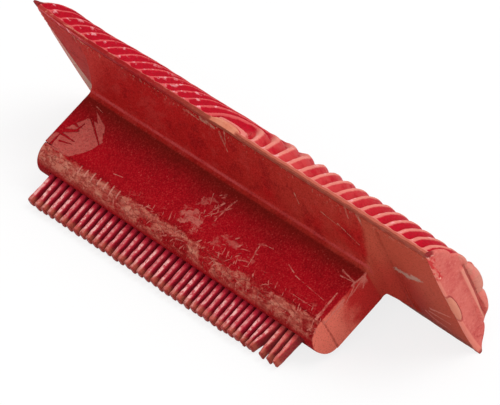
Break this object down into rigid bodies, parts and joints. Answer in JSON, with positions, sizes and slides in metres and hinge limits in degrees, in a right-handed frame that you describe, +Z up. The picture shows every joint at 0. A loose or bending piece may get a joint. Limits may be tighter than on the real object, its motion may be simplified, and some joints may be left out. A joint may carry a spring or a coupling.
{
  "type": "rubber wood graining rocker with comb",
  "caption": "T-section rubber rocker with a ridged convex graining face, a central grip web and a round-nosed comb of square teeth, lying on its long edge and tooth tips.",
  "frame": {"origin": "on the surface that the tool lies on, under the middle of its bounding box", "axes": "+X along the rocker head, +Y from the comb towards the head, +Z up, with the tool at rest on its far long edge and its tooth tips"},
  "size_m": [0.1532, 0.048, 0.0402],
  "materials": {
    "body_rubber": "satin",
    "pad_rubber": "satin, worn pale on the ridge tops",
    "end_rubber": "satin, worn pale",
    "comb_rubber": "satin, chalky streaks"
  },
  "bodies": {
    "root": {"handle_body": "body_rubber", "graining_pad": "pad_rubber", "end_pad_left": "end_rubber", "end_pad_right": "end_rubber", "comb_holder": "body_rubber", "comb": "comb_rubber"}
  },
  "joints": []
}
